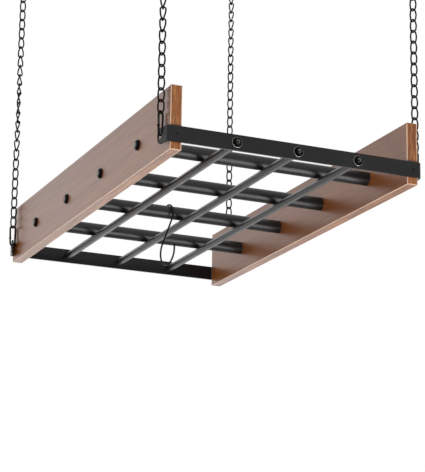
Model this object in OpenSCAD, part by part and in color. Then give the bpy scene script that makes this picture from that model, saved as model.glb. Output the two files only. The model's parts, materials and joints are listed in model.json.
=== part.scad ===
// Hanging pot rack: two wooden side boards joined by round cross tubes, two flat steel
// end brackets that carry the long bars, and four chains that hang it from the ceiling.
// The origin lies on the ceiling, in the middle of the four ceiling hooks. Y runs along
// the boards, from the front bracket to the rear one, and Z points up.

/* [Boards] */
// Length of a side board
board_l = 750; // [600:1:900]
// Height of a side board
board_h = 100; // [90:1:130]
// Thickness of a side board
board_t = 18; // [15:0.5:25]
// Radius on the long edges of a board
board_edge_r = 0.8; // [0.5:0.1:2]
// Width of the rack over the outer faces of the boards
rack_w = 415; // [360:1:520]

/* [Brackets] */
// Width of the flat steel strip
strip_w = 25; // [22:0.5:30]
// Thickness of the strip
strip_t = 3; // [2.5:0.1:3.5]
// Height of the strip's middle above the underside of the boards
strip_mid_h = 24; // [20:0.5:28]
// Inner radius of the bend at each end
bend_r = 1.5; // [1:0.1:3]
// Gap between a board and its tab where the bend ends
tab_gap = 2.6; // [2.6:0.1:4]
// Angle by which a tab leans away from its board
tab_flare = 12; // [8:0.5:14]
// Length of a tab after its bend
tab_l = 24.5; // [24:0.5:30]
// Corner cut off at the tab's end
tab_chamfer = 5; // [2:0.5:6]
// Diameter of the hole in a tab
tab_hole_d = 10; // [9.5:0.1:11]
// Distance of that hole from the board's end
tab_hole_y = 19; // [17:0.5:19]

/* [Cross tubes] */
// Outer diameter of a cross tube
tube_d = 22.5; // [20:0.5:25]
// Wall of a cross tube
tube_wall = 1.5; // [1:0.1:2.5]
// Gap between the long bars and the cross tubes above them
bar_tube_gap = 2; // [1.5:0.1:8]
// Distance between neighbouring cross tubes
tube_pitch = 163.3; // [130:0.1:180]
// Length of the threaded plug in each tube end
plug_l = 22; // [18:1:40]

/* [Long bars] */
// Diameter of a long bar
bar_d = 12.5; // [11:0.5:14]
// Distance between neighbouring long bars
bar_pitch = 101.7; // [70:0.1:125]
// Depth of the tapped hole in each bar end
bar_tap_l = 24; // [20:1:40]

/* [Fasteners] */
// Diameter of the bolts and screws
bolt_d = 6; // [5:0.1:6.5]
// Diameter of a board bolt's head
bolt_head_d = 17; // [14:0.5:20]
// Height of a board bolt's head
bolt_head_h = 4.5; // [3:0.1:6]
// Length of a board bolt in its plug
bolt_reach = 16; // [12:0.5:17]
// Diameter of a bar screw's flange
screw_head_d = 16.5; // [13:0.5:18]
// Diameter of the dome on that flange
screw_dome_d = 11; // [10:0.5:12]
// Height of a bar screw's head
screw_head_h = 5; // [4:0.1:6]
// Length of a bar screw in its bar
screw_reach = 18; // [14:0.5:19]
// Width of the hexagon socket across its flats
socket_w = 4; // [3:0.1:5]
// Depth of that socket
socket_deep = 2.4; // [1.5:0.1:2.8]
// Diameter of the wood screws in the board ends
wood_screw_d = 5; // [4:0.1:5.5]
// Head diameter of those countersunk wood screws
wood_head_d = 9; // [8:0.1:9.5]
// Length of those wood screws
wood_screw_l = 40; // [30:1:50]
// Radial clearance of a fastener in its hole
hole_clear = 0.3; // [0.2:0.05:0.5]
// Radial clearance of a thread in its plug or bar
thread_clear = 0.04; // [0.02:0.01:0.08]

/* [Chains] */
// Wire diameter of a chain link
link_wire = 2.6; // [2.2:0.1:2.8]
// Width of a link over its wire
link_w = 12; // [11.5:0.1:13]
// Distance from one link to the next
link_pitch = 18.4; // [17.5:0.1:22]
// Slack between two links
link_slack = 0.4; // [0.3:0.05:0.5]
// Links from snap hook to ceiling hook
link_count = 30; // [26:1:36]
// Links that hang beside the board below the chain's lower bending point
end_links = 3; // [3:1:5]
// Direction that the lowest links face
link_face = -23.6; // [-30:0.1:-15]

/* [Snap hooks] */
// Wire diameter of a snap hook
snap_wire = 3.2; // [3:0.1:3.4]
// Length of a snap hook over its wire
snap_l = 40; // [39:0.5:50]
// Width of its upper, wide end
snap_top_w = 15.8; // [15:0.1:16.2]
// Width of its lower, narrow end
snap_low_w = 13.6; // [13.4:0.1:14]
// Height of the gate's rivet above the lowest wire
gate_low = 13.5; // [13:0.5:15]
// Straight wire between the gate's tip and the bend above it
nose_l = 3; // [2.5:0.5:6]
// Diameter of the gate's rivet
rivet_d = 1.4; // [1.2:0.1:1.6]
// Radial running clearance of the rivet in the gate
rivet_clear = 0.05; // [0.03:0.01:0.08]
// Slack between a snap hook and the edge of its hole
snap_slack = 1.8; // [1.6:0.05:2]

/* [Ceiling hooks] */
// Wire diameter of a ceiling hook
hook_wire = 4.5; // [4:0.1:4.8]
// Radius of the hook's round, to the middle of the wire
hook_r = 9; // [8:0.5:14]
// Straight neck between collar and bend
hook_neck = 8.5; // [6:0.5:20]
// Diameter of the screw thread
hook_screw_d = 5; // [4.5:0.1:5]
// Length of the screw above the ceiling
hook_screw_l = 28; // [25:1:40]
// Diameter of the collar
collar_d = 12; // [10:0.5:16]
// Thickness of the collar
collar_t = 2; // [1.5:0.1:3]

/* [S-hook] */
// Wire diameter of the S-hook
s_wire = 3; // [2.5:0.1:3.5]
// Radius of its upper round, to the middle of the wire
s_top_r = 17.5; // [15:0.5:20]
// Radius of its lower round, to the middle of the wire
s_low_r = 24; // [15:0.5:26]
// Height from the centre of one round to the centre of the other
s_reach = 64.5; // [55:0.5:80]
// Distance of the hook from the middle of the rack, to the left
s_left = 22.5; // [17:0.5:60]
// Direction of the hook's plane
s_plane = 97; // [90:1:100]
// Slack between hook and tube
s_slack = 0.3; // [0.2:0.05:0.5]

/* [Hidden] */

walnut = "#6b412d";
black = "#2c2a2c";
dark_steel = "#4a494b";

tube_count = 4;
bar_count = 3;
wire_fn = 24;
bend_fn = 48;
round_fn = 64;

// the four corners, as the side in X and the end in Y
front_left = [-1, -1];
rear_left = [-1, 1];
front_right = [1, -1];
rear_right = [1, 1];

// how each chain turns about its own length: first turning link, degrees a link, last turning link
turn_front_left = [4, -9, 14];
turn_rear_left = [5, -11.5, 20];
turn_front_right = [6, -1, 29];
turn_rear_right = [12, -3, 26];

// direction of each snap hook's plane
snap_face_steep = 38;
snap_face_flat = 20;

// a tab's bend: its centre and mid radius, measured from the corner of its board
bend_mid_r = bend_r + strip_t / 2;
bend_x = bend_r * cos(tab_flare) - tab_gap;
tab_start = [bend_x - bend_mid_r * cos(tab_flare), bend_r - bend_mid_r * sin(tab_flare)];
bend_steps = 10;
tab_hole_s = (tab_hole_y - tab_start.y) / cos(tab_flare);
tab_hole_out = -(tab_start.x - tab_hole_s * sin(tab_flare));

// the corners where the chains hang
corner_x = rack_w / 2 + tab_hole_out;
corner_y = board_l / 2 - tab_hole_y;

// link sizes
link_in_l = link_pitch + link_slack;
link_mid_r = (link_w - link_wire) / 2;
link_top = (link_in_l + link_wire) / 2;

// snap hook sizes, to the middle of the wire
snap_mid_l = snap_l - snap_wire;
snap_low_r = (snap_low_w - snap_wire) / 2;
snap_top_r = (snap_top_w - snap_wire) / 2;
snap_lean = asin((snap_top_r - snap_low_r) / (snap_mid_l - snap_low_r - snap_top_r));
snap_seat = tab_hole_d / 2 - snap_wire / 2 - snap_slack;
gate_l = snap_mid_l - snap_top_r - gate_low - nose_l;
gate_slot = 0.35 * snap_wire;
gate_gap = 0.3;
tongue_l = 2.4;
tongue_root = 0.4;
rivet_eye_d = 1.3 * snap_wire;

// ceiling hook shape
hook_slant = 55;
hook_rise = hook_r / sin(hook_slant);
hook_tip_rise = 3;

// heights above the tab holes
link_low_h = snap_seat + snap_mid_l - snap_wire / 2 - link_slack + link_in_l / 2;
saddle_h = link_low_h + (link_count - 1) * link_pitch + link_in_l / 2 - link_slack - hook_wire / 2;
ceiling_h = saddle_h + hook_r + hook_rise + hook_neck;

// height of the boards' underside, and of what is set out from it
rack_z = -(ceiling_h + strip_mid_h);
hole_z = rack_z + strip_mid_h;
tube_h = strip_mid_h + bar_d / 2 + bar_tube_gap + tube_d / 2;
tube_z = rack_z + tube_h;
board_in_w = rack_w - 2 * board_t;

// the S-hook hangs on this tube, counted from the front; its lower round is set off to the
// front by this share of its radius, so that the hook hangs in balance
s_tube = 3;
s_low_shift = -0.35 / 24 * s_low_r;
// angle above the level at which its upper round ends, and its straight ends
s_end_a = 15;
s_end_l = 0.5;

// cuts run this far past the faces that they go through
over = 1;

// a bend is made this much tighter, so that two bends meet over a short straight piece
bend_join = 0.05;
ring_half = 0.1;
hook_ring = 0.03;

// ---- small helpers ----

function unit(v) = v / norm(v);
function turn_at(a, p, c) = 180 - acos(max(-1, min(1, unit(a - p) * unit(c - p))));
function tube_y(i) = (i - (tube_count + 1) / 2) * tube_pitch;
function bar_x(i) = (i - (bar_count + 1) / 2) * bar_pitch;
function corner_pos(c) = [c.x * corner_x, c.y * corner_y, hole_z];
function link_angle(j, t) = link_face + t[1] * max(0, min(j, t[2]) - t[0]);
function link_z(j) = link_low_h + j * link_pitch;

// a straight piece of wire
module run(a, b, r) {
    d = b - a;
    l = norm(d);
    if (l > 0.001)
        translate(a) rotate([0, acos(d.z / l), atan2(d.y, d.x)])
            cylinder(r = r, h = l, $fn = wire_fn);
}

// the bend of a wire at corner p, between the points a and c
module bend(a, p, c, mid_r, r) {
    u = unit(a - p);
    v = unit(c - p);
    turn = turn_at(a, p, c);
    reach = mid_r * tan(turn / 2);
    centre = p + unit(u + v) * mid_r / cos(turn / 2);
    x = unit(p + u * reach - centre);
    z = unit(cross(x, unit(p + v * reach - centre)));
    y = cross(z, x);
    multmatrix([
        [x.x, y.x, z.x, centre.x],
        [x.y, y.y, z.y, centre.y],
        [x.z, y.z, z.z, centre.z],
        [0, 0, 0, 1]
    ])
        rotate_extrude(angle = turn, $fn = bend_fn)
            translate([mid_r, 0]) circle(r = r, $fn = wire_fn);
}

// chamfered end of a wire at b, coming from a
module wire_end(a, b, r) {
    d = unit(b - a);
    translate(b) rotate([0, acos(d.z), atan2(d.y, d.x)])
        rotate_extrude($fn = wire_fn)
            polygon([[0, 0], [r, 0], [r * 0.7, r * 0.3], [0, r * 0.3]]);
}

// bent wire through the points, with a bend radius for each point; open unless closed.
// A thin ring, wider than the wire by the amount named, closes each joint of run and bend
module bent_wire(points, radii, r, closed = false, ring = 0) {
    n = len(points);
    corners = closed ? [0:n - 1] : [1:n - 2];
    reach = [for (i = [0:n - 1])
        (closed || (i > 0 && i < n - 1))
            ? radii[i] * tan(turn_at(points[(i + n - 1) % n], points[i], points[(i + 1) % n]) / 2)
            : 0];
    for (i = corners)
        bend(points[(i + n - 1) % n], points[i], points[(i + 1) % n], radii[i], r);
    for (i = [0:closed ? n - 1 : n - 2]) {
        p = points[i];
        q = points[(i + 1) % n];
        d = unit(q - p);
        start = p + d * reach[i];
        end = q - d * reach[(i + 1) % n];
        run(start, end, r);
        if (ring > 0) {
            if (reach[i] > 0) run(start - d * ring_half, start + d * ring_half, r + ring);
            if (reach[(i + 1) % n] > 0 && norm(end - start) > 2 * ring_half)
                run(end - d * ring_half, end + d * ring_half, r + ring);
        }
    }
}

// rectangle with rounded corners, centred
module round_rect(w, h, r) {
    square([w - 2 * r, h], center = true);
    square([w, h - 2 * r], center = true);
    for (x = [-1, 1], y = [-1, 1])
        translate([x * (w / 2 - r), y * (h / 2 - r)]) circle(r = r, $fn = wire_fn);
}

// hexagon across its flats
module hex(w) {
    circle(d = w / cos(30), $fn = 6);
}

// ---- boards ----

// board standing on its long edge; side is -1 on the left and 1 on the right
module board(side) {
    color(walnut)
    difference() {
        translate([side * (rack_w - board_t) / 2, board_l / 2, rack_z + board_h / 2])
            rotate([90, 0, 0])
                linear_extrude(height = board_l) round_rect(board_t, board_h, board_edge_r);
        for (i = [1:tube_count])
            translate([side * rack_w / 2, tube_y(i), tube_z]) rotate([0, 90, 0])
                cylinder(d = bolt_d + 2 * hole_clear, h = 2 * (board_t + over), center = true, $fn = 48);
        for (end = [-1, 1])
            translate([side * (rack_w - board_t) / 2, end * board_l / 2, hole_z])
                rotate([90, 0, 0])
                    cylinder(d = wood_screw_d + 2 * thread_clear,
                             h = 2 * (wood_screw_l + 2), center = true, $fn = 48);
    }
}

module left_board() { board(-1); }
module right_board() { board(1); }

// ---- brackets ----

// the strip's round bend, from the plate to the tab, at the radius r
function bend_line(r) = [for (i = [0:bend_steps])
    let(a = 270 - (90 - tab_flare) * i / bend_steps)
        [bend_x + r * cos(a) - rack_w / 2, bend_r + r * sin(a)]];

// outline of the strip's left end seen from above, from the plate's outer face to its inner one
function strip_end() =
    let(outer = bend_line(bend_r + strip_t), inner = bend_line(bend_r),
        along = tab_l * [-sin(tab_flare), cos(tab_flare)])
    concat(outer, [outer[bend_steps] + along, inner[bend_steps] + along],
           [for (i = [0:bend_steps]) inner[bend_steps - i]]);

// end bracket: a flat strip across the board ends, bent back along both boards
module bracket(end) {
    left = strip_end();
    right = [for (i = [1:len(left)]) [-left[len(left) - i].x, left[len(left) - i].y]];
    color(black)
    translate([0, end * board_l / 2, hole_z]) mirror([0, end > 0 ? 1 : 0, 0])
    difference() {
        linear_extrude(height = strip_w, center = true) polygon(concat(left, right));
        for (side = [0, 1]) mirror([side, 0, 0])
            translate([tab_start.x - rack_w / 2, tab_start.y, 0]) rotate([0, 0, tab_flare]) {
                translate([0, tab_hole_s, 0]) rotate([0, 90, 0])
                    cylinder(d = tab_hole_d, h = 3 * strip_t, center = true, $fn = round_fn);
                for (z = [-1, 1])
                    translate([0, tab_l, z * strip_w / 2]) rotate([45, 0, 0])
                        cube([3 * strip_t, tab_chamfer * sqrt(2), tab_chamfer * sqrt(2)],
                             center = true);
            }
        for (i = [1:bar_count])
            translate([bar_x(i), 0, 0]) rotate([90, 0, 0])
                cylinder(d = bolt_d + 2 * hole_clear, h = 3 * strip_t, center = true, $fn = 48);
        for (side = [-1, 1])
            translate([side * (rack_w - board_t) / 2, -strip_t, 0]) rotate([-90, 0, 0])
                wood_screw_shape(hole_clear / 2, strip_t + over);
    }
}

module front_bracket() { bracket(-1); }
module rear_bracket() { bracket(1); }

// ---- cross tubes and long bars ----

module cross_tube(i) {
    color(black)
    translate([0, tube_y(i), tube_z]) rotate([0, 90, 0])
    difference() {
        cylinder(d = tube_d, h = board_in_w, center = true, $fn = round_fn);
        cylinder(d = tube_d - 2 * tube_wall, h = board_in_w + 2 * over, center = true,
                 $fn = round_fn);
    }
}

module cross_tube_1() { cross_tube(1); }
module cross_tube_2() { cross_tube(2); }
module cross_tube_3() { cross_tube(3); }
module cross_tube_4() { cross_tube(4); }

// threaded plugs pressed into the tube ends
module tube_plugs() {
    color(dark_steel)
    for (i = [1:tube_count], side = [-1, 1])
        translate([side * (board_in_w - plug_l) / 2, tube_y(i), tube_z]) rotate([0, 90, 0])
        difference() {
            cylinder(d = tube_d - 2 * tube_wall, h = plug_l, center = true, $fn = round_fn);
            cylinder(d = bolt_d + 2 * thread_clear, h = plug_l + 2 * over, center = true, $fn = 48);
        }
}

module long_bar(i) {
    color(black)
    translate([bar_x(i), 0, hole_z]) rotate([90, 0, 0])
    difference() {
        cylinder(d = bar_d, h = board_l, center = true, $fn = round_fn);
        for (end = [-1, 1])
            translate([0, 0, end * board_l / 2])
                cylinder(d = bolt_d + 2 * thread_clear, h = 2 * bar_tap_l, center = true, $fn = 48);
    }
}

module long_bar_1() { long_bar(1); }
module long_bar_2() { long_bar(2); }
module long_bar_3() { long_bar(3); }

// ---- fasteners ----

// low round head bolt: its bearing face lies at z = 0 and its shank points down
module board_bolt() {
    rim = bolt_head_h * 0.35;
    difference() {
        union() {
            rotate_extrude($fn = round_fn)
                polygon([[0, 0], [bolt_head_d / 2, 0], [bolt_head_d / 2, rim],
                         [bolt_head_d * 0.42, bolt_head_h * 0.8],
                         [bolt_head_d * 0.32, bolt_head_h], [0, bolt_head_h]]);
            translate([0, 0, -(board_t + bolt_reach)])
                cylinder(d = bolt_d, h = board_t + bolt_reach + 1, $fn = 48);
        }
        translate([0, 0, bolt_head_h - socket_deep]) linear_extrude(height = socket_deep + over)
            hex(socket_w);
    }
}

// flanged dome head screw: its bearing face lies at z = 0 and its shank points down
module bar_screw() {
    flange = screw_head_h * 0.28;
    difference() {
        union() {
            cylinder(d = screw_head_d, h = flange, $fn = round_fn);
            rotate_extrude($fn = round_fn)
                polygon([[0, 0], [screw_dome_d / 2, 0], [screw_dome_d / 2, flange * 1.6],
                         [screw_dome_d * 0.45, screw_head_h * 0.8],
                         [screw_dome_d * 0.34, screw_head_h], [0, screw_head_h]]);
            translate([0, 0, -(strip_t + screw_reach)])
                cylinder(d = bolt_d, h = strip_t + screw_reach + 1, $fn = 48);
        }
        translate([0, 0, screw_head_h - socket_deep]) linear_extrude(height = socket_deep + over)
            hex(socket_w);
    }
}

// countersunk wood screw with its flat head at z = 0, pointing up; room widens it all round
module wood_screw_shape(room, l) {
    cone = (wood_head_d - wood_screw_d) / 2;
    rotate_extrude($fn = 48)
        polygon([[0, 0], [wood_head_d / 2 + room, 0], [wood_screw_d / 2 + room, cone],
                 [wood_screw_d / 2 + room, l], [0, l]]);
}

module side_bolts(side) {
    color(black)
    for (i = [1:tube_count])
        translate([side * rack_w / 2, tube_y(i), tube_z]) rotate([0, side * 90, 0]) board_bolt();
}

module left_board_bolts() { side_bolts(-1); }
module right_board_bolts() { side_bolts(1); }

module end_screws(end) {
    color(black)
    for (i = [1:bar_count])
        translate([bar_x(i), end * (board_l / 2 + strip_t), hole_z])
            rotate([-end * 90, 0, 0]) bar_screw();
}

module front_bar_screws() { end_screws(-1); }
module rear_bar_screws() { end_screws(1); }

module bracket_wood_screws() {
    color(black)
    for (side = [-1, 1], end = [-1, 1])
        translate([side * (rack_w - board_t) / 2, end * (board_l / 2 + strip_t), hole_z])
            rotate([end * 90, 0, 0])
            difference() {
                wood_screw_shape(0, wood_screw_l);
                translate([0, 0, -over]) linear_extrude(height = over + socket_deep * 0.7)
                    hex(socket_w * 0.75);
            }
}

// ---- chains ----

// one twisted chain link, centred, with its middle facing along x
module link() {
    e = link_mid_r * cos(45);
    points = [
        [e, e, link_top], [-e, -e, link_top], [-link_mid_r, 0, 0],
        [-e, e, -link_top], [e, -e, -link_top], [link_mid_r, 0, 0]
    ];
    end_r = (link_mid_r - bend_join) / tan(turn_at(points[0], points[1], points[2]) / 2);
    side_r = 3 * link_wire;
    bent_wire(points, [end_r, end_r, side_r, end_r, end_r, side_r], link_wire / 2, closed = true);
}

// links number a to b of a chain, counted from the snap hook
module links(c, t, a, b) {
    color(black)
    translate(corner_pos(c))
        for (j = [a:b])
            translate([0, 0, link_z(j)]) rotate([0, 0, link_angle(j, t)]) link();
}

module chain(c, t) { links(c, t, end_links, link_count - 2); }
module chain_top_link(c, t) { links(c, t, link_count - 1, link_count - 1); }
module chain_end_links(c, t) { links(c, t, 0, end_links - 1); }

module chain_front_left() { chain(front_left, turn_front_left); }
module chain_rear_left() { chain(rear_left, turn_rear_left); }
module chain_front_right() { chain(front_right, turn_front_right); }
module chain_rear_right() { chain(rear_right, turn_rear_right); }

module chain_top_link_front_left() { chain_top_link(front_left, turn_front_left); }
module chain_top_link_rear_left() { chain_top_link(rear_left, turn_rear_left); }
module chain_top_link_front_right() { chain_top_link(front_right, turn_front_right); }
module chain_top_link_rear_right() { chain_top_link(rear_right, turn_rear_right); }

module chain_end_links_front_left() { chain_end_links(front_left, turn_front_left); }
module chain_end_links_rear_left() { chain_end_links(rear_left, turn_rear_left); }
module chain_end_links_front_right() { chain_end_links(front_right, turn_front_right); }
module chain_end_links_rear_right() { chain_end_links(rear_right, turn_rear_right); }

// ---- ceiling hooks ----

// open screw hook under a round collar, with its round across the top link
module ceiling_hook(c, t) {
    mid = saddle_h + hook_r - ceiling_h;
    points = [
        [0, 0, 0], [0, 0, mid + hook_rise],
        [-hook_r, 0, mid + hook_rise - hook_r / tan(hook_slant)],
        [-hook_r, 0, mid - hook_r], [hook_r, 0, mid - hook_r], [hook_r, 0, mid + hook_tip_rise]
    ];
    tip_l = hook_screw_d;
    color(black)
    translate([c.x * corner_x, c.y * corner_y, 0])
    rotate([0, 0, link_angle(link_count - 1, t) + 45 + 90]) {
        round_r = hook_r - bend_join;
        bent_wire(points, [0, hook_r / 2, round_r, round_r, round_r, 0], hook_wire / 2,
                  ring = hook_ring);
        wire_end(points[4], points[5], hook_wire / 2);
        translate([0, 0, -collar_t]) cylinder(d = collar_d, h = collar_t, $fn = round_fn);
        rotate_extrude($fn = 48)
            polygon([[0, -1], [hook_screw_d / 2, -1], [hook_screw_d / 2, hook_screw_l - tip_l],
                     [0, hook_screw_l]]);
    }
}

module ceiling_hook_front_left() { ceiling_hook(front_left, turn_front_left); }
module ceiling_hook_rear_left() { ceiling_hook(rear_left, turn_rear_left); }
module ceiling_hook_front_right() { ceiling_hook(front_right, turn_front_right); }
module ceiling_hook_rear_right() { ceiling_hook(rear_right, turn_rear_right); }

// ---- snap hooks ----

// where the straight sides of the pear run: half width at a height above the lowest wire
function snap_half(h) = (snap_low_r + sin(snap_lean) * (h - snap_low_r)) / cos(snap_lean);

// places a snap hook's own frame at its corner: x across the hook with the gate at -x, z up
module snap_place(c) {
    steep = c.x * c.y > 0;
    translate(corner_pos(c) + [0, 0, snap_seat])
        rotate([0, 0, (steep ? snap_face_steep : snap_face_flat) + (c.x > 0 ? 180 : 0)])
            children();
}

// places the gate's own frame at its rivet, with z along the gate
module gate_place() {
    translate([-snap_half(gate_low), 0, gate_low]) rotate([0, -snap_lean, 0]) children();
}

// pear shaped wire body, open on the gate's side, with a flat eye and a flat nose
module snap_hook(c) {
    low = snap_low_r * (1 - sin(snap_lean)) / cos(snap_lean);
    top = snap_half(snap_mid_l);
    eye_end = gate_low - rivet_eye_d / 2;
    nose_end = gate_low + (gate_l + gate_gap) * cos(snap_lean);
    points = [
        [-snap_half(eye_end), 0, eye_end], [-low, 0, 0], [low, 0, 0],
        [top, 0, snap_mid_l], [-top, 0, snap_mid_l], [-snap_half(nose_end), 0, nose_end]
    ];
    color(black)
    snap_place(c) {
        bent_wire(points, [0, snap_low_r - bend_join, snap_low_r - bend_join,
                           snap_top_r - bend_join, snap_top_r - bend_join, 0], snap_wire / 2,
                  ring = hook_ring);
        gate_place() {
            difference() {
                union() {
                    rotate([90, 0, 0])
                        cylinder(d = rivet_eye_d, h = gate_slot, center = true, $fn = 32);
                    translate([0, 0, -rivet_eye_d / 2])
                        cube([snap_wire * 0.9, gate_slot, rivet_eye_d], center = true);
                }
                rotate([90, 0, 0])
                    cylinder(d = rivet_d, h = 2 * snap_wire, center = true, $fn = 32);
            }
            translate([0, 0, gate_l + gate_gap - tongue_l / 2 + tongue_root])
                cube([snap_wire * 0.55, gate_slot, tongue_l + 2 * tongue_root], center = true);
        }
    }
}

// round gate, forked over the eye at the bottom and over the nose at the top
module snap_gate(c) {
    slot = gate_slot + 2 * gate_gap;
    color(dark_steel)
    snap_place(c) gate_place()
        difference() {
            union() {
                cylinder(d = snap_wire + 0.3, h = gate_l, $fn = 32);
                rotate([90, 0, 0])
                    cylinder(d = snap_wire + 0.1, h = snap_wire - 0.2, center = true, $fn = 32);
            }
            rotate([90, 0, 0]) {
                cylinder(d = rivet_eye_d + 2 * gate_gap, h = slot, center = true, $fn = 32);
                cylinder(d = rivet_d + 2 * rivet_clear, h = 2 * snap_wire, center = true, $fn = 32);
            }
            translate([0, 0, -snap_wire])
                cube([2 * snap_wire, slot, 2 * snap_wire], center = true);
            translate([0, 0, gate_l])
                cube([2 * snap_wire, slot, 2 * (tongue_l + gate_gap)], center = true);
        }
}

module snap_rivet(c) {
    head_l = 0.5;
    color(dark_steel)
    snap_place(c) gate_place() rotate([90, 0, 0]) {
        cylinder(d = rivet_d, h = snap_wire + 0.4, center = true, $fn = 32);
        for (s = [-1, 1])
            translate([0, 0, s * (snap_wire / 2 + 0.15 + head_l / 2)])
                cylinder(d = rivet_d * 1.8, h = head_l, center = true, $fn = 32);
    }
}

module snap_hook_front_left() { snap_hook(front_left); }
module snap_hook_rear_left() { snap_hook(rear_left); }
module snap_hook_front_right() { snap_hook(front_right); }
module snap_hook_rear_right() { snap_hook(rear_right); }

module snap_gate_front_left() { snap_gate(front_left); }
module snap_gate_rear_left() { snap_gate(rear_left); }
module snap_gate_front_right() { snap_gate(front_right); }
module snap_gate_rear_right() { snap_gate(rear_right); }

module snap_rivet_front_left() { snap_rivet(front_left); }
module snap_rivet_rear_left() { snap_rivet(rear_left); }
module snap_rivet_front_right() { snap_rivet(front_right); }
module snap_rivet_rear_right() { snap_rivet(rear_right); }

// ---- S-hook ----

// bent wire in one plane: each round goes past its centre and the stem is tangent to both
module s_hook() {
    top = [0, tube_d / 2 + s_slack + s_wire / 2 - s_top_r];
    low = [s_low_shift, top.y - s_reach];
    stem = atan2(low.y - top.y, low.x - top.x) + asin((s_top_r + s_low_r) / norm(low - top));
    d = [cos(stem), sin(stem)];
    n = [d.y, -d.x];
    t1 = top + s_top_r * n;
    t2 = low - s_low_r * n;
    front = -s_top_r;
    rear = low.x + s_low_r;
    end_side = [cos(s_end_a), sin(s_end_a)];
    first = top + s_top_r * end_side + s_end_l * [end_side.y, -end_side.x];
    crown = (90 - s_end_a) / 2;
    second = top + s_top_r / cos(crown) * [sin(crown), cos(crown)];
    points = [
        [first.x, 0, first.y], [second.x, 0, second.y],
        [front, 0, top.y + s_top_r], [front, 0, t1.y + d.y * (front - t1.x) / d.x],
        [rear, 0, t2.y + d.y * (rear - t2.x) / d.x], [rear, 0, low.y - s_low_r],
        [low.x - s_low_r, 0, low.y - s_low_r], [low.x - s_low_r, 0, low.y + s_low_r * 0.3]
    ];
    r1 = s_top_r - bend_join;
    r2 = s_low_r - bend_join;
    color(black)
    translate([-s_left, tube_y(s_tube), tube_z]) rotate([0, 0, s_plane]) {
        bent_wire(points, [0, r1, r1, r1, r2, r2, r2, 0], s_wire / 2, ring = hook_ring);
        wire_end(points[1], points[0], s_wire / 2);
        wire_end(points[6], points[7], s_wire / 2);
    }
}

left_board();
right_board();
front_bracket();
rear_bracket();
cross_tube_1();
cross_tube_2();
cross_tube_3();
cross_tube_4();
long_bar_1();
long_bar_2();
long_bar_3();
tube_plugs();
left_board_bolts();
right_board_bolts();
front_bar_screws();
rear_bar_screws();
bracket_wood_screws();
s_hook();
ceiling_hook_front_left();
ceiling_hook_rear_left();
ceiling_hook_front_right();
ceiling_hook_rear_right();
chain_top_link_front_left();
chain_top_link_rear_left();
chain_top_link_front_right();
chain_top_link_rear_right();
chain_front_left();
chain_rear_left();
chain_front_right();
chain_rear_right();
chain_end_links_front_left();
chain_end_links_rear_left();
chain_end_links_front_right();
chain_end_links_rear_right();
snap_hook_front_left();
snap_hook_rear_left();
snap_hook_front_right();
snap_hook_rear_right();
snap_gate_front_left();
snap_gate_rear_left();
snap_gate_front_right();
snap_gate_rear_right();
snap_rivet_front_left();
snap_rivet_rear_left();
snap_rivet_front_right();
snap_rivet_rear_right();
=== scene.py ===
# %% [markdown]
# # A hanging pot rack
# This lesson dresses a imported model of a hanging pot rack: two wooden side boards, round
# cross tubes, long bars, flat steel end brackets and four chains. The model already has
# every solid in its real place and size, in metres, with the origin on the ceiling. What
# is left for this script is the camera, the finishes, some fine detail and the light.

# %% Load the model
import json
import math

import bmesh
import bpy
from mathutils import Matrix, Vector


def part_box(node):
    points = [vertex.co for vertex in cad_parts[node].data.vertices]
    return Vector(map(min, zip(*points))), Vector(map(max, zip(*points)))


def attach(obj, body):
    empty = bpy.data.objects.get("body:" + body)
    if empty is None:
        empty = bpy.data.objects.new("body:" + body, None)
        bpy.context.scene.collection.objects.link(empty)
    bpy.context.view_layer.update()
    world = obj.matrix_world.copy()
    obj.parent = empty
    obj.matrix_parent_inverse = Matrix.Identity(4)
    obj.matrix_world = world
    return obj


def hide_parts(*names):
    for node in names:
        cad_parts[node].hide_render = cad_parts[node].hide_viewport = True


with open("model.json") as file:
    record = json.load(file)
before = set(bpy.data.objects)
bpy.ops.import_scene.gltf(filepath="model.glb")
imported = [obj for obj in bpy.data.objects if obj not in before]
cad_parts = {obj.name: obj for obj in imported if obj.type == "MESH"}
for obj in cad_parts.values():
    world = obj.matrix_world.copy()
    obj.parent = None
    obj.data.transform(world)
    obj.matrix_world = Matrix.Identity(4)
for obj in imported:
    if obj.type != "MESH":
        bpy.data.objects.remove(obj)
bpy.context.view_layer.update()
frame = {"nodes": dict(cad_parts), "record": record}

MM = 0.001  # a millimetre, in the script's metres


# %% [markdown]
# ## The camera
# The rack is seen from below its left front corner, through a long lens from about three
# metres away. A long lens keeps the tubes nearly parallel, as in a catalogue picture. A
# constraint could aim the camera at the rack, but it would leave the roll open. So the
# camera's turn is written as three angles: around, up, and a slight roll.

# %% Camera at the picture's view
CAMERA_PLACE = Vector((-1.14801, -2.68802, -1.44432))
CAMERA_AROUND, CAMERA_UP, CAMERA_ROLL = (math.radians(a) for a in (23.598, 15.131, 0.837))
CAMERA_LENS = 137.07  # millimetres
CAMERA_SENSOR = 36.0  # millimetres, along the picture's long side
CAMERA_REACH = 50.0  # metres: what lies farther away isn't seen


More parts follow.
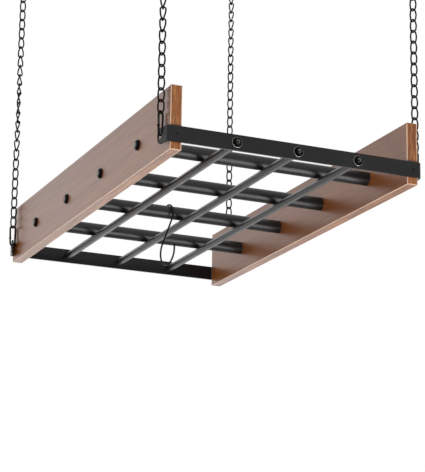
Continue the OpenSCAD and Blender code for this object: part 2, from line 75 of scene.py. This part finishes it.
def make_camera():
    """A camera at its place, turned by its three angles."""
    forward = Vector((math.sin(CAMERA_AROUND) * math.cos(CAMERA_UP),
                      math.cos(CAMERA_AROUND) * math.cos(CAMERA_UP),
                      math.sin(CAMERA_UP)))
    level_right = Vector((math.cos(CAMERA_AROUND), -math.sin(CAMERA_AROUND), 0.0))
    level_up = level_right.cross(forward)
    right = math.cos(CAMERA_ROLL) * level_right + math.sin(CAMERA_ROLL) * level_up
    up = right.cross(forward)
    data = bpy.data.cameras.new("camera")
    data.sensor_fit = "AUTO"
    data.sensor_width = CAMERA_SENSOR
    data.lens = CAMERA_LENS
    data.clip_end = CAMERA_REACH
    camera = bpy.data.objects.new("camera", data)
    bpy.context.collection.objects.link(camera)
    turn = Matrix((right, up, -forward)).transposed()
    camera.matrix_world = Matrix.Translation(CAMERA_PLACE) @ turn.to_4x4()
    return camera


bpy.context.scene.camera = make_camera()
print("the camera stands", round(CAMERA_PLACE.length, 2), "m from the origin")

# %% [markdown]
# ## Small helpers for the finishes
# A finish is a set of shader nodes. It could be built by hand in the node editor, but then
# nothing would say why a value is what it is. Here one small function adds a node, sets its
# values and makes its links, so that each finish below reads as a list. Another turns the
# colours, written as on a screen, to the linear numbers that the shader works in.

# %% Node and colour helpers
def linear(code):
    """An sRGB colour such as "#6b412d" as linear red, green, blue and alpha."""
    parts = [int(code[i:i + 2], 16) / 255 for i in (1, 3, 5)]
    return tuple(c / 12.92 if c <= 0.04045 else ((c + 0.055) / 1.055) ** 2.4 for c in parts) + (1.0,)


def add(tree, kind, settings=None, **sockets):
    """Adds a node. Settings are its own options, sockets its inputs: a value, or an output to link."""
    made = tree.nodes.new(kind)
    for name, value in (settings or {}).items():
        setattr(made, name, value)
    for name, value in sockets.items():
        number = name[1:] if name[0] == "i" and name[1:].isdigit() else None
        socket = made.inputs[int(number)] if number else made.inputs[name.replace("_", " ")]
        if isinstance(value, bpy.types.NodeSocket):
            tree.links.new(value, socket)
        else:
            socket.default_value = value
    return made


def new_finish(name):
    """A new material and its node tree, which is empty."""
    material = bpy.data.materials.new(name)
    material.use_nodes = True
    tree = material.node_tree
    tree.nodes.clear()
    return material, tree


def per_mm(size):
    """The scale of a pattern whose feature is this many millimetres across."""
    return 1000.0 / size


print("a feature of 2 mm has the scale", per_mm(2))

# %% [markdown]
# ## The walnut boards
# The side boards are chipboard with a walnut laminate: a printed paper under a satin seal,
# glued to a flat core. Under the seal the colour is a warm orange brown. The seal is clear
# and fairly smooth, so a face seen at a glance is veiled by the white room, and a face seen
# square on shows the full brown. Nothing in the colour makes that veil: it is the clear
# coat's own reflection, which grows towards a glancing view.
#
# Where two faces meet, a thin pale line is painted into the finish: a painted highlight, such as
# a slightly rounded edge catches. It could be a thin strip of its own along each edge, but nothing
# of it stands proud of the board, so it is drawn in the finish. The distance from an edge is the
# middle one of the three distances to the board's faces. The top edges get no painted highlight.

# %% Distance from the edges of a board
board_low, board_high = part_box("left_board")
BOARD_MIDDLE = [abs(value) for value in (board_low + board_high) / 2]  # of either board, without signs
BOARD_HALF = list((board_high - board_low) / 2)
# The painted highlight along the edges is full within the first distance, gone at the second, and stops
# just under the top edges.
EDGE_HIGHLIGHT_FULL, EDGE_HIGHLIGHT_GONE = 0.5 * MM, 1.5 * MM  # distances from the edge
EDGE_HIGHLIGHT_TOP = board_high.z - 1.4 * MM  # the line ends just under the boards' top edges
EDGE_HIGHLIGHT_TOP_FADE = 0.6 * MM


def painted_edge_highlight(tree, place):
    """A painted highlight along the edges of the boards, falling to nothing at a distance from them."""
    unsigned = add(tree, "ShaderNodeVectorMath", {"operation": "ABSOLUTE"}, i0=place)
    offset = add(tree, "ShaderNodeVectorMath", {"operation": "SUBTRACT"},
                 i0=unsigned.outputs[0], i1=BOARD_MIDDLE)
    offset = add(tree, "ShaderNodeVectorMath", {"operation": "ABSOLUTE"}, i0=offset.outputs[0])
    inset = add(tree, "ShaderNodeVectorMath", {"operation": "SUBTRACT"},
                i0=BOARD_HALF, i1=offset.outputs[0])
    x, y, z = add(tree, "ShaderNodeSeparateXYZ", Vector=inset.outputs[0]).outputs
    nearer = add(tree, "ShaderNodeMath", {"operation": "MINIMUM"}, i0=x, i1=y)
    farther = add(tree, "ShaderNodeMath", {"operation": "MAXIMUM"}, i0=x, i1=y)
    farther = add(tree, "ShaderNodeMath", {"operation": "MINIMUM"}, i0=farther.outputs[0], i1=z)
    middle = add(tree, "ShaderNodeMath", {"operation": "MAXIMUM"},
                 i0=nearer.outputs[0], i1=farther.outputs[0])
    line = add(tree, "ShaderNodeMapRange", i0=middle.outputs[0],
               i1=EDGE_HIGHLIGHT_FULL, i2=EDGE_HIGHLIGHT_GONE, i3=1.0, i4=0.0)
    height = add(tree, "ShaderNodeSeparateXYZ", Vector=place).outputs[2]
    below_highlight_top = add(tree, "ShaderNodeMapRange", i0=height,
                     i1=EDGE_HIGHLIGHT_TOP - EDGE_HIGHLIGHT_TOP_FADE, i2=EDGE_HIGHLIGHT_TOP, i3=1.0, i4=0.0)
    return add(tree, "ShaderNodeMath", {"operation": "MULTIPLY"},
               i0=line.outputs[0], i1=below_highlight_top.outputs[0]).outputs[0]


print("the boards' edges are paler over", EDGE_HIGHLIGHT_FULL / MM, "mm, and the line is gone at", EDGE_HIGHLIGHT_GONE / MM)

# %% [markdown]
# The grain is four noises of different width, all stretched along the fibre: a broad
# figure, then streaks a few millimetres wide, pale fibres and fine dark pores. The last
# three are layers of one kind, so a loop lays them over each other. They are faint on the
# broad faces and strong on the narrow ones, as in the picture. The grain runs along the
# board and stands upright on the ends, where the same noises are read with their stretch
# turned. The pores are drawn coarser than real ones, which would be too fine to show.

# %% Layers of the grain
FIGURE_MM = 30
ALONG_BOARD = (1.0, 0.03, 1.0)  # how the place is scaled before a noise reads it
UPRIGHT = (1.4, 1.4, 0.06)  # and on the ends
TURNED_FROM, TURNED_TO = 0.6, 0.8  # the normal's share at which a face counts as turned
EDGE_HIGHLIGHT_STRENGTH = 0.9
GRAIN_LAYERS = (
    {"name": "streak", "mm": 4.5, "detail": 4.0, "roughness": 0.55, "from": 0.47, "to": 0.62,
     "broad": 0.2, "narrow": 0.95, "colour": "#4f260e"},
    {"name": "fibre", "mm": 2.4, "detail": 3.0, "roughness": 0.6, "from": 0.48, "to": 0.58,
     "broad": 0.2, "narrow": 0.75, "colour": "#a86d36"},
    {"name": "pore", "mm": 1.3, "detail": 3.0, "roughness": 0.6, "from": 0.52, "to": 0.62,
     "broad": 0.28, "narrow": 0.85, "colour": "#46220f"},
)
print("over the figure lie", ", ".join(layer["name"] for layer in GRAIN_LAYERS))

# %% [markdown]
# Under the clear coat the paper itself is dull, with a low reflection of its own. Its
# roughness follows the streaks, and the pores sink in a little.

# %% Walnut laminate
def walnut_laminate():
    """The boards' finish: a brown figure under the layers of grain and the painted edge highlight,
    sealed clear.
    """
    material, tree = new_finish("walnut_laminate")
    where = add(tree, "ShaderNodeTexCoord")
    place = where.outputs["Object"]
    facing = add(tree, "ShaderNodeVectorMath", {"operation": "ABSOLUTE"}, i0=where.outputs["Normal"])
    facing = add(tree, "ShaderNodeSeparateXYZ", Vector=facing.outputs[0]).outputs
    end_face = add(tree, "ShaderNodeMapRange", i0=facing[1], i1=TURNED_FROM, i2=TURNED_TO).outputs[0]
    narrow = add(tree, "ShaderNodeMath", {"operation": "MAXIMUM"}, i0=facing[1], i1=facing[2]).outputs[0]
    narrow_face = add(tree, "ShaderNodeMapRange", i0=narrow, i1=TURNED_FROM, i2=TURNED_TO).outputs[0]

    along = add(tree, "ShaderNodeMapping", Vector=place, Scale=ALONG_BOARD).outputs[0]
    upright = add(tree, "ShaderNodeMapping", Vector=place, Scale=UPRIGHT).outputs[0]
    grain = add(tree, "ShaderNodeMix", {"data_type": "VECTOR"},
                i0=end_face, i4=along, i5=upright).outputs[1]

    figure = add(tree, "ShaderNodeTexNoise", Vector=grain, Scale=per_mm(FIGURE_MM),
                 Detail=3.0, Distortion=0.8).outputs[0]
    light_part = add(tree, "ShaderNodeMapRange", i0=figure, i1=0.35, i2=0.65).outputs[0]
    colour = add(tree, "ShaderNodeMix", {"data_type": "RGBA"}, i0=light_part,
                 i6=linear("#733d14"), i7=linear("#884c1b")).outputs[2]
    noises = {}
    for layer in GRAIN_LAYERS:
        noise = add(tree, "ShaderNodeTexNoise", Vector=grain, Scale=per_mm(layer["mm"]),
                    Detail=layer["detail"], Roughness=layer["roughness"]).outputs[0]
        noises[layer["name"]] = noise
        strength = add(tree, "ShaderNodeMapRange", i0=narrow_face,
                       i3=layer["broad"], i4=layer["narrow"]).outputs[0]
        part = add(tree, "ShaderNodeMapRange", i0=noise,
                   i1=layer["from"], i2=layer["to"], i4=strength).outputs[0]
        colour = add(tree, "ShaderNodeMix", {"data_type": "RGBA"}, i0=part,
                     i6=colour, i7=linear(layer["colour"])).outputs[2]
    # The painted highlight along the edges, mixed in as a pale colour.
    pale = add(tree, "ShaderNodeMath", {"operation": "MULTIPLY"},
               i0=painted_edge_highlight(tree, place), i1=EDGE_HIGHLIGHT_STRENGTH).outputs[0]
    colour = add(tree, "ShaderNodeMix", {"data_type": "RGBA"}, i0=pale,
                 i6=colour, i7=linear("#e2bfa4")).outputs[2]

    rough = add(tree, "ShaderNodeMapRange", i0=noises["streak"],
                i1=0.3, i2=0.7, i3=0.36, i4=0.44).outputs[0]
    bump = add(tree, "ShaderNodeBump", Height=noises["pore"], Strength=0.15, Distance=0.1 * MM)
    shader = add(tree, "ShaderNodeBsdfPrincipled", Base_Color=colour, Roughness=rough, IOR=1.5,
                 Specular_IOR_Level=0.1, Normal=bump.outputs[0],
                 Coat_Weight=0.85, Coat_Roughness=0.36, Coat_IOR=1.5)
    add(tree, "ShaderNodeOutputMaterial", Surface=shader.outputs[0])
    return material


WALNUT = walnut_laminate()
print("made", WALNUT.name)

# %% [markdown]
# ## The black coats
# Tubes, bars and brackets are powder-coated steel: a dry powder baked to a satin black
# skin with a very fine orange-peel. The pigment is carbon black, so almost all that the
# eye gets is the reflection of the room, weak where the skin is seen square on and strong
# at a glance. That is why the slanting bars look grey and the bracket's face nearly black.
# The peel could be carved into the meshes, but it is far too shallow to change an outline.
# So a bump carries it, drawn a little coarser than the real one so that it still shows.
# The bracket, the tubes and the bars each have a roughness and gloss of their own, matched
# to how bright each looks in the picture.
#
# The chains and hooks are dipped rather than sprayed, which leaves a slightly uneven film.
# The bolts and screws are blackened in a bath and oiled, so they are the smoothest of all
# and catch small bright lights.

# %% Powder coats, dipped lacquer and black oxide
CLOUD_MM = 45  # how far apart the slow changes of tone and roughness lie
CLOUD_ROUGHNESS = 0.04  # how much rougher or smoother they make the coat


def black_coating(name, darker, paler, roughness, gloss, peel_mm, peel_depth, ior=1.5):
    """A coat of two near blacks, with an orange-peel of a width and a depth."""
    material, tree = new_finish(name)
    place = add(tree, "ShaderNodeTexCoord").outputs["Object"]
    peel = add(tree, "ShaderNodeTexNoise", Vector=place, Scale=per_mm(peel_mm), Detail=2.0)
    cloud = add(tree, "ShaderNodeTexNoise", Vector=place, Scale=per_mm(CLOUD_MM), Detail=3.0).outputs[0]
    part = add(tree, "ShaderNodeMapRange", i0=cloud, i1=0.35, i2=0.65).outputs[0]
    tone = add(tree, "ShaderNodeMix", {"data_type": "RGBA"}, i0=part,
               i6=linear(darker), i7=linear(paler)).outputs[2]
    rough = add(tree, "ShaderNodeMapRange", i0=cloud, i1=0.3, i2=0.7,
                i3=roughness - CLOUD_ROUGHNESS, i4=roughness + CLOUD_ROUGHNESS).outputs[0]
    bump = add(tree, "ShaderNodeBump", Height=peel.outputs[0], Strength=0.25, Distance=peel_depth)
    shader = add(tree, "ShaderNodeBsdfPrincipled", Base_Color=tone, Roughness=rough, IOR=ior,
                 Specular_IOR_Level=gloss, Normal=bump.outputs[0])
    add(tree, "ShaderNodeOutputMaterial", Surface=shader.outputs[0])
    return material


POWDER_COAT = black_coating("satin_powder_coat", "#0d0c0d", "#141314", roughness=0.25, gloss=0.27,
                            peel_mm=0.8, peel_depth=0.03 * MM)
TUBE_COAT = black_coating("satin_tube_coat", "#0b0a0b", "#111011", roughness=0.36, gloss=0.4,
                          peel_mm=0.8, peel_depth=0.03 * MM)
BAR_COAT = black_coating("satin_bar_coat", "#0d0c0d", "#131213", roughness=0.36, gloss=1.0,
                         peel_mm=0.8, peel_depth=0.03 * MM)
DIPPED_BLACK = black_coating("dipped_black_lacquer", "#050505", "#090808", roughness=0.32, gloss=0.2,
                             peel_mm=1.6, peel_depth=0.04 * MM, ior=1.3)
BLACK_OXIDE = black_coating("oiled_black_oxide", "#050505", "#090808", roughness=0.15, gloss=0.2,
                            peel_mm=2.5, peel_depth=0.03 * MM, ior=1.25)
for coat in (POWDER_COAT, TUBE_COAT, BAR_COAT, DIPPED_BLACK, BLACK_OXIDE):
    print("made", coat.name)

# %% [markdown]
# ## The bare steel
# The gates of the snap hooks, their rivets and the plugs inside the tubes are blackened
# steel without a coat. It is a metal, so its colour sits in the reflection. On the rounded
# edges and socket walls of the bolts and screws, a paler steel makes a painted highlight: it
# stands for the bright lines that those edges catch. It could be a mask inside the oxide's own
# finish, but a second material on those few faces keeps the line between the two as sharp as
# a real edge.

# %% Blackened steel, and pale steel for painted highlights
BRUSH_MM = 0.9
BRUSH_ROUGHNESS = 0.05


def bare_steel(name, darker, paler, roughness):
    """A metal of two tones, mixed as finely as the marks of a wire brush."""
    material, tree = new_finish(name)
    place = add(tree, "ShaderNodeTexCoord").outputs["Object"]
    brush = add(tree, "ShaderNodeTexNoise", Vector=place, Scale=per_mm(BRUSH_MM), Detail=3.0).outputs[0]
    tone = add(tree, "ShaderNodeMix", {"data_type": "RGBA"}, i0=brush,
               i6=linear(darker), i7=linear(paler)).outputs[2]
    rough = add(tree, "ShaderNodeMapRange", i0=brush, i1=0.3, i2=0.7,
                i3=roughness - BRUSH_ROUGHNESS, i4=roughness + BRUSH_ROUGHNESS).outputs[0]
    shader = add(tree, "ShaderNodeBsdfPrincipled", Base_Color=tone, Roughness=rough, Metallic=1.0)
    add(tree, "ShaderNodeOutputMaterial", Surface=shader.outputs[0])
    return material


BARE_STEEL = bare_steel("blackened_steel", "#2a2928", "#454342", roughness=0.37)
# A pale steel that paints highlights on the edges and in the sockets of the bolts and screws.
PAINTED_HIGHLIGHT_STEEL = bare_steel("painted_highlight_steel", "#98958f", "#b2aea8", roughness=0.27)
print("made", BARE_STEEL.name, "and", PAINTED_HIGHLIGHT_STEEL.name)

# %% [markdown]
# ## Which piece takes which finish
# Every solid of the model gets the finish of its real material. A list could name each
# solid, but the names already say what the solids are, so one function reads the finish
# from the name. The wood screws stay in the bracket's powder coat, painted over with it.

# %% Dress the solids
def finish_for(name):
    """The finish of a solid, told from its name."""
    if name.endswith("_board"):
        return WALNUT
    if name.startswith(("tube_plugs", "snap_gate", "snap_rivet")):
        return BARE_STEEL
    if name.startswith(("chain_", "snap_hook", "ceiling_hook", "s_hook")):
        return DIPPED_BLACK
    if name.endswith(("_bolts", "bar_screws")):
        return BLACK_OXIDE
    if name.startswith("cross_tube"):
        return TUBE_COAT
    if name.startswith("long_bar"):
        return BAR_COAT
    return POWDER_COAT


def dress(piece, finish):
    """Gives a piece one finish on all its faces."""
    piece.data.materials.clear()
    piece.data.materials.append(finish)
    for face in piece.data.polygons:
        face.material_index = 0


for node_name, node in frame["nodes"].items():
    dress(node, finish_for(node_name))
print("dressed", len(frame["nodes"]), "solids")

# %% [markdown]
# ## Rounded edges
# A rolled steel strip has edges rounded by the rolls and softened again by the coat, and
# the eye knows it by the thin bright line that runs along them. A forged bolt head is soft
# along its edges too. The solids have sharp edges there. A solid isn't to be changed, so a
# copy takes over from it: its loose triangles are merged, its flat faces are joined, and a
# small bevel rounds every sharp edge that stands out. A bevel modifier could do the same,
# but an operator can also say which new faces it made, and on the bolts and screws those take
# the pale steel of the painted highlight.

# %% A copy of a solid with rounded edges
MERGE_WITHIN = 1e-6  # metres
FLAT_WITHIN = math.radians(1)  # triangles that turn by less than this are one face
SHARP_FROM = math.radians(43)  # edges that turn by more than this are rounded
SIDEWAYS = 0.1  # a normal with less than this along an axis stands square to it
SOCKET_WALL = 3 * MM * MM  # of a head's sideways faces, only the socket's walls are larger


def rounded_copy(node_name, finish, rounding, axis=0, beyond=0.0, highlight_finish=None):
    """A copy of a solid that stands for it. Its sharp edges are rounded, where they lie farther
    out along an axis than a distance. There, the new faces and the socket's walls may take a pale steel
    as a painted highlight."""
    solid = frame["nodes"][node_name]
    shape = bmesh.new()
    shape.from_mesh(solid.data)
    bmesh.ops.remove_doubles(shape, verts=shape.verts, dist=MERGE_WITHIN)
    bmesh.ops.dissolve_limit(shape, angle_limit=FLAT_WITHIN, verts=shape.verts, edges=shape.edges)
    sharp = [e for e in shape.edges
             if e.is_convex and e.calc_face_angle() > SHARP_FROM
             and abs((e.verts[0].co[axis] + e.verts[1].co[axis]) / 2) > beyond]
    made = bmesh.ops.bevel(shape, geom=sharp, offset=rounding, offset_type="OFFSET", affect="EDGES",
                           segments=2, profile=0.5, material=-1, clamp_overlap=False)
    for face in shape.faces:
        face.material_index = 0
    # The new faces and the socket walls take the pale steel, a painted highlight.
    if highlight_finish:
        walls = [f for f in shape.faces
                 if abs(f.calc_center_median()[axis]) > beyond
                 and abs(f.normal[axis]) < SIDEWAYS and f.calc_area() > SOCKET_WALL]
        for face in walls + made["faces"]:
            face.material_index = 1
    mesh = bpy.data.meshes.new(node_name + "_rounded")
    shape.to_mesh(mesh)
    shape.free()
    piece = bpy.data.objects.new(node_name + "_rounded", mesh)
    bpy.context.collection.objects.link(piece)
    piece.data.materials.append(finish)
    if highlight_finish:
        piece.data.materials.append(highlight_finish)
    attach(piece, "rack")
    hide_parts(node_name)
    return piece


print("edges that turn by more than", round(math.degrees(SHARP_FROM)), "degrees are rounded")

# %% [markdown]
# The brackets are rounded all over, their chamfered tabs and drilled holes too, by about
# what rolling and a coat leave on such a strip.

# %% Brackets with rounded edges
STRIP_ROUNDING = 0.5 * MM
for bracket_name in ("front_bracket", "rear_bracket"):
    piece = rounded_copy(bracket_name, POWDER_COAT, STRIP_ROUNDING)
    print(piece.name, "has", len(piece.data.polygons), "faces")

# %% [markdown]
# The heads of the bolts and screws are forged to a low dome. The rounded edges of a flange
# and of a socket, and the socket's walls, take the pale steel as a painted highlight: a thin
# bright ring on each screw head, and a bright six-sided line round each socket. Only the heads
# are rounded, which are what lies outside the boards or the brackets. The shanks are hidden.

# %% Bolts and screws with rounded heads
CLEAR_OF_FACE = 0.5 * MM
BOLT_ROUNDING, SCREW_ROUNDING = 0.7 * MM, 0.4 * MM
SMOOTH_BELOW = math.radians(36)  # faces that turn by less than this are shaded as one
outside_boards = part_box("right_board")[1].x + CLEAR_OF_FACE
outside_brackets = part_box("rear_bracket")[1].y + CLEAR_OF_FACE
BOLT_HEADS = (BOLT_ROUNDING, 0, outside_boards)  # the heads lie farther out than this, along X
SCREW_HEADS = (SCREW_ROUNDING, 1, outside_brackets)  # and these along Y
for fastener_name, heads in (("left_board_bolts", BOLT_HEADS), ("right_board_bolts", BOLT_HEADS),
                             ("front_bar_screws", SCREW_HEADS), ("rear_bar_screws", SCREW_HEADS)):
    # Their rounded edges and socket walls get the pale steel of the painted highlight.
    piece = rounded_copy(fastener_name, BLACK_OXIDE, *heads, highlight_finish=PAINTED_HIGHLIGHT_STEEL)
    piece.data.shade_smooth()
    piece.data.set_sharp_from_angle(angle=SMOOTH_BELOW)
    print(piece.name, "has", len(piece.data.polygons), "faces")

# %% [markdown]
# ## Threads on the ceiling screws
# The ceiling hooks end in a wood screw. Its thread is a sharp ridge that winds up the
# shank. A bump could only darken the shank in rings, and its outline would stay straight.
# So a small triangle, spun about the screw's axis while it climbs, draws the ridge. The
# record says how thick the four screws are and how far apart.

# %% Screw threads
ceiling_screws = frame["record"]["mounts"][0]["dims"]
SCREW_R = ceiling_screws["stud_r_mm"] * MM
SCREW_X = ceiling_screws["spacing_x_mm"] * MM / 2
SCREW_Y = ceiling_screws["spacing_y_mm"] * MM / 2
THREAD_PITCH = 2.2 * MM
THREAD_FROM, THREAD_TURNS = 4.5 * MM, 8
THREAD_OUT = SCREW_R + 0.6 * MM
THREAD_ROOT = 0.96 * SCREW_R  # a little inside the shank, so that the ridge grows out of it
THREAD_HALF = 0.3 * THREAD_PITCH  # half the ridge's width at its root
STEPS_PER_TURN = 24


def screw_thread(name, centre_x, centre_y):
    """The thread of one ceiling screw, closed at both ends."""
    shape = bmesh.new()
    corners = [(THREAD_ROOT, 0, -THREAD_HALF), (THREAD_OUT, 0, 0), (THREAD_ROOT, 0, THREAD_HALF)]
    section = [shape.verts.new((x, y, z + THREAD_FROM)) for x, y, z in corners]
    profile = shape.faces.new(section)
    steps = STEPS_PER_TURN * THREAD_TURNS
    climb = THREAD_PITCH * THREAD_TURNS / steps
    bmesh.ops.spin(shape, geom=[profile], cent=(0, 0, 0), axis=(0, 0, 1), steps=steps,
                   angle=2 * math.pi * THREAD_TURNS, dvec=(0, 0, climb), use_duplicate=False)
    bmesh.ops.remove_doubles(shape, verts=shape.verts, dist=MERGE_WITHIN)
    bmesh.ops.recalc_face_normals(shape, faces=shape.faces)
    bmesh.ops.translate(shape, verts=shape.verts, vec=(centre_x, centre_y, 0))
    mesh = bpy.data.meshes.new(name)
    shape.to_mesh(mesh)
    shape.free()
    piece = bpy.data.objects.new(name, mesh)
    bpy.context.collection.objects.link(piece)
    dress(piece, DIPPED_BLACK)
    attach(piece, "ceiling")
    return piece


for side_name, side in (("left", -1), ("right", 1)):
    for end_name, end in (("front", -1), ("rear", 1)):
        screw_thread(f"screw_thread_{end_name}_{side_name}", side * SCREW_X, end * SCREW_Y)
print("four threads of", THREAD_TURNS, "turns")

# %% [markdown]
# ## The light and the room
# The rack is lit as in a white studio. The surround is white to the camera and in
# reflections, and dimmer as a source of light, so the dark steel keeps its depth. White
# walls round the rack could do it too, but they would have to be lit, and would cast their
# light where it isn't wanted.

# %% Surround
SURROUND_LIGHT = 0.5  # as a source of light
SURROUND_SEEN = 1.0  # to the camera and in reflections: white


def make_surround():
    """A world that is white to look at and gives a share of white as light."""
    world = bpy.data.worlds.new("white_surround")
    bpy.context.scene.world = world
    world.use_nodes = True
    tree = world.node_tree
    tree.nodes.clear()
    path = add(tree, "ShaderNodeLightPath")
    shown = path.outputs["Is Camera Ray"]
    for ray in ("Is Glossy Ray", "Is Transmission Ray"):
        shown = add(tree, "ShaderNodeMath", {"operation": "MAXIMUM"},
                    i0=shown, i1=path.outputs[ray]).outputs[0]
    strength = add(tree, "ShaderNodeMix", {"data_type": "FLOAT"},
                   i0=shown, i2=SURROUND_LIGHT, i3=SURROUND_SEEN).outputs[0]
    background = add(tree, "ShaderNodeBackground", Color=(1, 1, 1, 1), Strength=strength)
    add(tree, "ShaderNodeOutputWorld", Surface=background.outputs[0])
    return world


print("made", make_surround().name)

# %% [markdown]
# One big lamp could light it all, but black steel shows little but reflections, so there
# are five, and each is placed for the reflection it gives:
#
# - the main one, low on the left, lights the boards and puts the sparks on the links;
# - the one below draws a soft line along each round tube;
# - the one behind lightens the undersides of the long bars;
# - the one farthest behind, on the left, adds to the veil on the boards' broad faces;
# - the small one far out on the left puts a spark on the bolts' heads.

# %% Lamps
RACK_MIDDLE = Vector((0.0, 0.0, -0.6))


def add_lamp(name, place, across, watts):
    """A round lamp of a width in metres, which faces the rack's middle and isn't seen itself."""
    data = bpy.data.lights.new(name, "AREA")
    data.shape = "DISK"
    data.size = across
    data.energy = watts
    lamp = bpy.data.objects.new(name, data)
    bpy.context.collection.objects.link(lamp)
    lamp.visible_camera = False
    turn = (RACK_MIDDLE - Vector(place)).to_track_quat("-Z", "Y").to_matrix()
    lamp.matrix_world = Matrix.Translation(Vector(place)) @ turn.to_4x4()
    return lamp


lamps = [
    add_lamp("lamp_main", (-0.8, -1.8, -2.1), across=0.8, watts=20.5),
    add_lamp("lamp_below", (0.62, -1.0, -1.65), across=1.25, watts=20.0),
    add_lamp("lamp_behind", (0.5, 2.7, -1.6), across=2.0, watts=6.0),
    add_lamp("lamp_beside", (-1.6, 3.2, 0.1), across=2.5, watts=5.0),
    add_lamp("lamp_spark", (-2.5, 0.8, -0.3), across=0.3, watts=3.0),
]
print(len(lamps), "lamps of", sum(lamp.data.energy for lamp in lamps), "watts together")

# %% [markdown]
# A plain pale floor lies under the rack, as far below as in a room of ordinary height. Its
# paint takes the rack's shadow, and a share of white that only the camera sees keeps it
# pale. More light would do that too, but it would fall on the rack as well.

# %% Floor
FLOOR_HEIGHT = -2.7
FLOOR_HALF = 6.0
FLOOR_WHITE = 0.4  # the share of white that only the camera sees


def make_floor():
    """The painted floor, a plain square under the rack."""
    shape = bmesh.new()
    bmesh.ops.create_grid(shape, x_segments=1, y_segments=1, size=FLOOR_HALF,
                          matrix=Matrix.Translation((0, 0, FLOOR_HEIGHT)))
    mesh = bpy.data.meshes.new("pale_floor")
    shape.to_mesh(mesh)
    shape.free()
    floor = bpy.data.objects.new("pale_floor", mesh)
    bpy.context.collection.objects.link(floor)
    material, tree = new_finish("pale_floor_paint")
    paint = add(tree, "ShaderNodeBsdfPrincipled", Base_Color=linear("#e6e4e1"), Roughness=0.8)
    seen = add(tree, "ShaderNodeLightPath").outputs["Is Camera Ray"]
    share = add(tree, "ShaderNodeMath", {"operation": "MULTIPLY"}, i0=seen, i1=FLOOR_WHITE)
    white = add(tree, "ShaderNodeEmission", Color=(1, 1, 1, 1), Strength=share.outputs[0])
    both = add(tree, "ShaderNodeAddShader", i0=paint.outputs[0], i1=white.outputs[0])
    add(tree, "ShaderNodeOutputMaterial", Surface=both.outputs[0])
    floor.data.materials.append(material)
    return floor


make_floor()
bpy.context.scene.view_settings.view_transform = "Standard"
print("the floor lies", -FLOOR_HEIGHT, "m under the ceiling")
